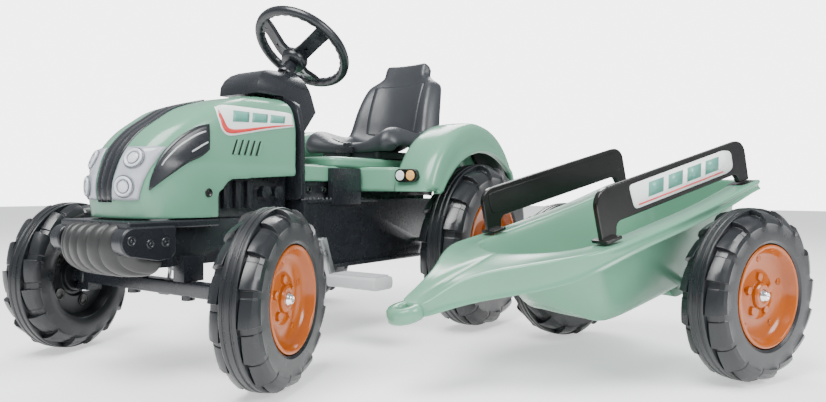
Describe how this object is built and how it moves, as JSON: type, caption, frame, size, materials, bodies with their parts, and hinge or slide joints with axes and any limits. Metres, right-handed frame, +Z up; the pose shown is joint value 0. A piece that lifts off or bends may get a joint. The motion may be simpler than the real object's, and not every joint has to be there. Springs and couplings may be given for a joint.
{
  "type": "ride-on pedal tractor with trailer",
  "caption": "Child's ride-on pedal tractor with steered front wheels, opening hood and sliding seat, beside its unhitched tipping trailer with lift-out side boards.",
  "frame": {"origin": "middle of the set's footprint, on the floor", "axes": "+Z up; -Y the way the tractor faces; +X the tractor's left, the side the trailer stands on"},
  "size_m": [1.0376, 0.7868, 0.5556],
  "materials": {
    "green_plastic": "glossy moulded sage green",
    "black_plastic": "satin black",
    "board_black": "smooth black sheet",
    "tyre_black": "satin black with moulded lugs",
    "rim_orange": "glossy orange",
    "seat_grey": "dark grey, fine grain",
    "light_grey": "light grey",
    "lens_white": "printed white lens",
    "steel": "zinc plated"
  },
  "bodies": {
    "chassis": {"chassis": "black_plastic", "engine_block": "black_plastic", "front_weights": "black_plastic", "front_axle_beam": "black_plastic", "kingpin_left": "steel", "kingpin_right": "steel", "dash_console": "black_plastic", "hood_hinge_pin": "steel", "column_sleeve": "light_grey", "saddle_body": "green_plastic", "fender_lamp_left": "lens_white", "fender_lamp_right": "lens_white", "drive_chain": "steel", "tow_hitch": "black_plastic"},
    "steering": {"steering_shaft": "steel", "steering_wheel": "black_plastic"},
    "horn": {"horn_button": "rim_orange"},
    "tie_rod": {"tie_rod": "black_plastic"},
    "knuckle_left": {"knuckle_left": "black_plastic"},
    "knuckle_right": {"knuckle_right": "black_plastic"},
    "front_wheel_left": {"front_left_tyre": "tyre_black", "front_left_rim": "rim_orange", "front_left_nut": "steel"},
    "front_wheel_right": {"front_right_tyre": "tyre_black", "front_right_rim": "rim_orange", "front_right_nut": "steel"},
    "hood": {"hood_shell": "green_plastic", "grille_strip": "black_plastic", "headlight_left": "lens_white", "headlight_right": "lens_white", "side_vent_left": "black_plastic", "side_vent_right": "black_plastic"},
    "seat": {"seat_shell": "seat_grey"},
    "seat_latch": {"seat_latch": "black_plastic"},
    "crank": {"crankset": "steel", "drive_sprocket": "steel"},
    "pedal_left": {"pedal_left": "light_grey"},
    "pedal_right": {"pedal_right": "light_grey"},
    "rear_axle": {"rear_axle": "steel", "axle_sprocket": "steel", "rear_left_tyre": "tyre_black", "rear_left_rim": "rim_orange", "rear_left_nut": "steel"},
    "rear_wheel_right": {"rear_right_tyre": "tyre_black", "rear_right_rim": "rim_orange", "rear_right_nut": "steel"},
    "trailer_axle": {"trailer_axle": "steel"},
    "trailer_tub": {"trailer_tub": "green_plastic"},
    "side_board_left": {"side_board_left": "board_black"},
    "side_board_right": {"side_board_right": "board_black"},
    "trailer_wheel_left": {"trailer_left_tyre": "tyre_black", "trailer_left_rim": "rim_orange", "trailer_left_nut": "steel"},
    "trailer_wheel_right": {"trailer_right_tyre": "tyre_black", "trailer_right_rim": "rim_orange", "trailer_right_nut": "steel"}
  },
  "joints": [
    {"name": "steering_turn", "type": "hinge", "parent": "chassis", "child": "steering", "pos_m": [-0.24053, 0.01094, 0.496], "axis": [0, 0.6293, 0.7771], "range_deg": [-47.5, 9.5]},
    {"name": "horn_press", "type": "slide", "parent": "steering", "child": "horn", "axis": [0, -0.6293, -0.7771], "range_m": [0, 0.0012], "stiffness_N_per_m": 500, "springref_m": -0.004},
    {"name": "tie_rod_slide", "type": "slide", "parent": "chassis", "child": "tie_rod", "axis": [1, 0, 0], "range_m": [-0.0085, 0.038]},
    {"name": "knuckle_left_turn", "type": "hinge", "parent": "chassis", "child": "knuckle_left", "pos_m": [-0.04653, -0.27306, 0.115], "axis": [0, 0, 1], "range_deg": [-50.5, 10.5]},
    {"name": "knuckle_right_turn", "type": "hinge", "parent": "chassis", "child": "knuckle_right", "pos_m": [-0.43453, -0.27306, 0.115], "axis": [0, 0, 1], "range_deg": [-50.5, 10.5]},
    {"name": "front_left_spin", "type": "hinge", "parent": "knuckle_left", "child": "front_wheel_left", "pos_m": [-0.02397, -0.26485, 0.115], "axis": [0.9397, 0.342, 0], "continuous": true},
    {"name": "front_right_spin", "type": "hinge", "parent": "knuckle_right", "child": "front_wheel_right", "pos_m": [-0.45708, -0.28127, 0.115], "axis": [0.9397, 0.342, 0], "continuous": true},
    {"name": "hood_open", "type": "hinge", "parent": "chassis", "child": "hood", "pos_m": [-0.24053, -0.13806, 0.3765], "axis": [-1, 0, 0], "range_deg": [0, 45]},
    {"name": "seat_slide", "type": "slide", "parent": "chassis", "child": "seat", "axis": [0, 1, 0], "range_m": [-0.02, 0.035]},
    {"name": "seat_latch_lift", "type": "slide", "parent": "seat", "child": "seat_latch", "axis": [0, 0, 1], "range_m": [0, 0.004], "stiffness_N_per_m": 300, "springref_m": -0.006},
    {"name": "rear_axle_turn", "type": "hinge", "parent": "chassis", "child": "rear_axle", "pos_m": [-0.24053, 0.24394, 0.1495], "axis": [1, 0, 0], "continuous": true},
    {"name": "rear_right_spin", "type": "hinge", "parent": "rear_axle", "child": "rear_wheel_right", "pos_m": [-0.24053, 0.24394, 0.1495], "axis": [1, 0, 0], "continuous": true},
    {"name": "crank_turn", "type": "hinge", "parent": "chassis", "child": "crank", "pos_m": [-0.24053, -0.04306, 0.165], "axis": [1, 0, 0], "continuous": true},
    {"name": "pedal_left_spin", "type": "hinge", "parent": "crank", "child": "pedal_left", "pos_m": [-0.09053, -0.02117, 0.10486], "axis": [1, 0, 0], "continuous": true},
    {"name": "pedal_right_spin", "type": "hinge", "parent": "crank", "child": "pedal_right", "pos_m": [-0.39053, -0.06495, 0.22514], "axis": [1, 0, 0], "continuous": true},
    {"name": "trailer_roll", "type": "slide", "parent": "chassis", "child": "trailer_axle", "axis": [0.3955, 0.9184, 0], "range_m": [-0.1, 0.25]},
    {"name": "trailer_tilt", "type": "hinge", "parent": "trailer_axle", "child": "trailer_tub", "pos_m": [0.29817, 0.19544, 0.115], "axis": [0.9184, -0.3955, 0], "range_deg": [-14.3, 11.5]},
    {"name": "trailer_left_spin", "type": "hinge", "parent": "trailer_axle", "child": "trailer_wheel_left", "pos_m": [0.45247, 0.12899, 0.115], "axis": [0.9184, -0.3955, 0], "continuous": true},
    {"name": "trailer_right_spin", "type": "hinge", "parent": "trailer_axle", "child": "trailer_wheel_right", "pos_m": [0.14387, 0.26189, 0.115], "axis": [0.9184, -0.3955, 0], "continuous": true},
    {"name": "board_left_lift", "type": "slide", "parent": "trailer_tub", "child": "side_board_left", "axis": [-0.0977, -0.2269, 0.969], "range_m": [0, 0.06]},
    {"name": "board_right_lift", "type": "slide", "parent": "trailer_tub", "child": "side_board_right", "axis": [-0.0977, -0.2269, 0.969], "range_m": [0, 0.06]}
  ],
  "couplings": [
    {"joint": "knuckle_left_turn", "follows": "steering_turn", "ratio": 1.0526},
    {"joint": "knuckle_right_turn", "follows": "steering_turn", "ratio": 1.0526},
    {"joint": "tie_rod_slide", "follows": "steering_turn", "m_per_rad": -0.04463},
    {"joint": "crank_turn", "follows": "rear_axle_turn", "ratio": 0.77778}
  ]
}
